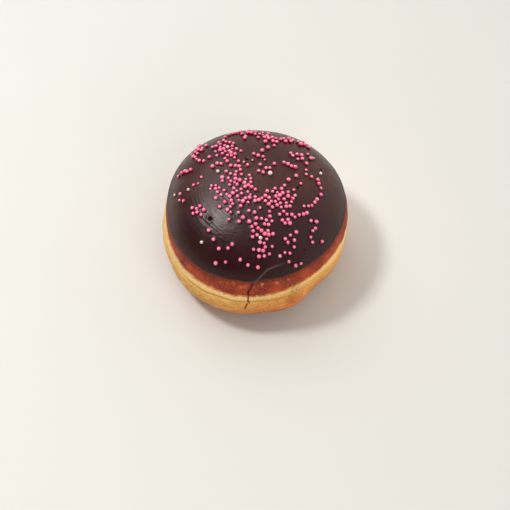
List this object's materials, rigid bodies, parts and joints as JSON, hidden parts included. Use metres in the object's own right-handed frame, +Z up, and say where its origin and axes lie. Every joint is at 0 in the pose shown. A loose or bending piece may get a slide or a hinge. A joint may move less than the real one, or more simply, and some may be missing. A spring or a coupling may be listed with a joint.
{
  "type": "filled doughnut with chocolate icing",
  "caption": "Round filled yeast doughnut with a glossy dark chocolate icing cap scattered with small pink sugar pearls and a pale ring round its waist.",
  "frame": {"origin": "centre of the box in plan, at the height of the flat base that the doughnut rests on", "axes": "+Z up through the icing, -Y towards the shown side with the crack, +X to the right as seen from there"},
  "size_m": [0.0861, 0.0887, 0.0525],
  "materials": {
    "dough": "matte",
    "icing": "satin",
    "pearls": "satin"
  },
  "bodies": {
    "root": {"dough": "dough", "icing": "icing"}
  },
  "joints": []
}
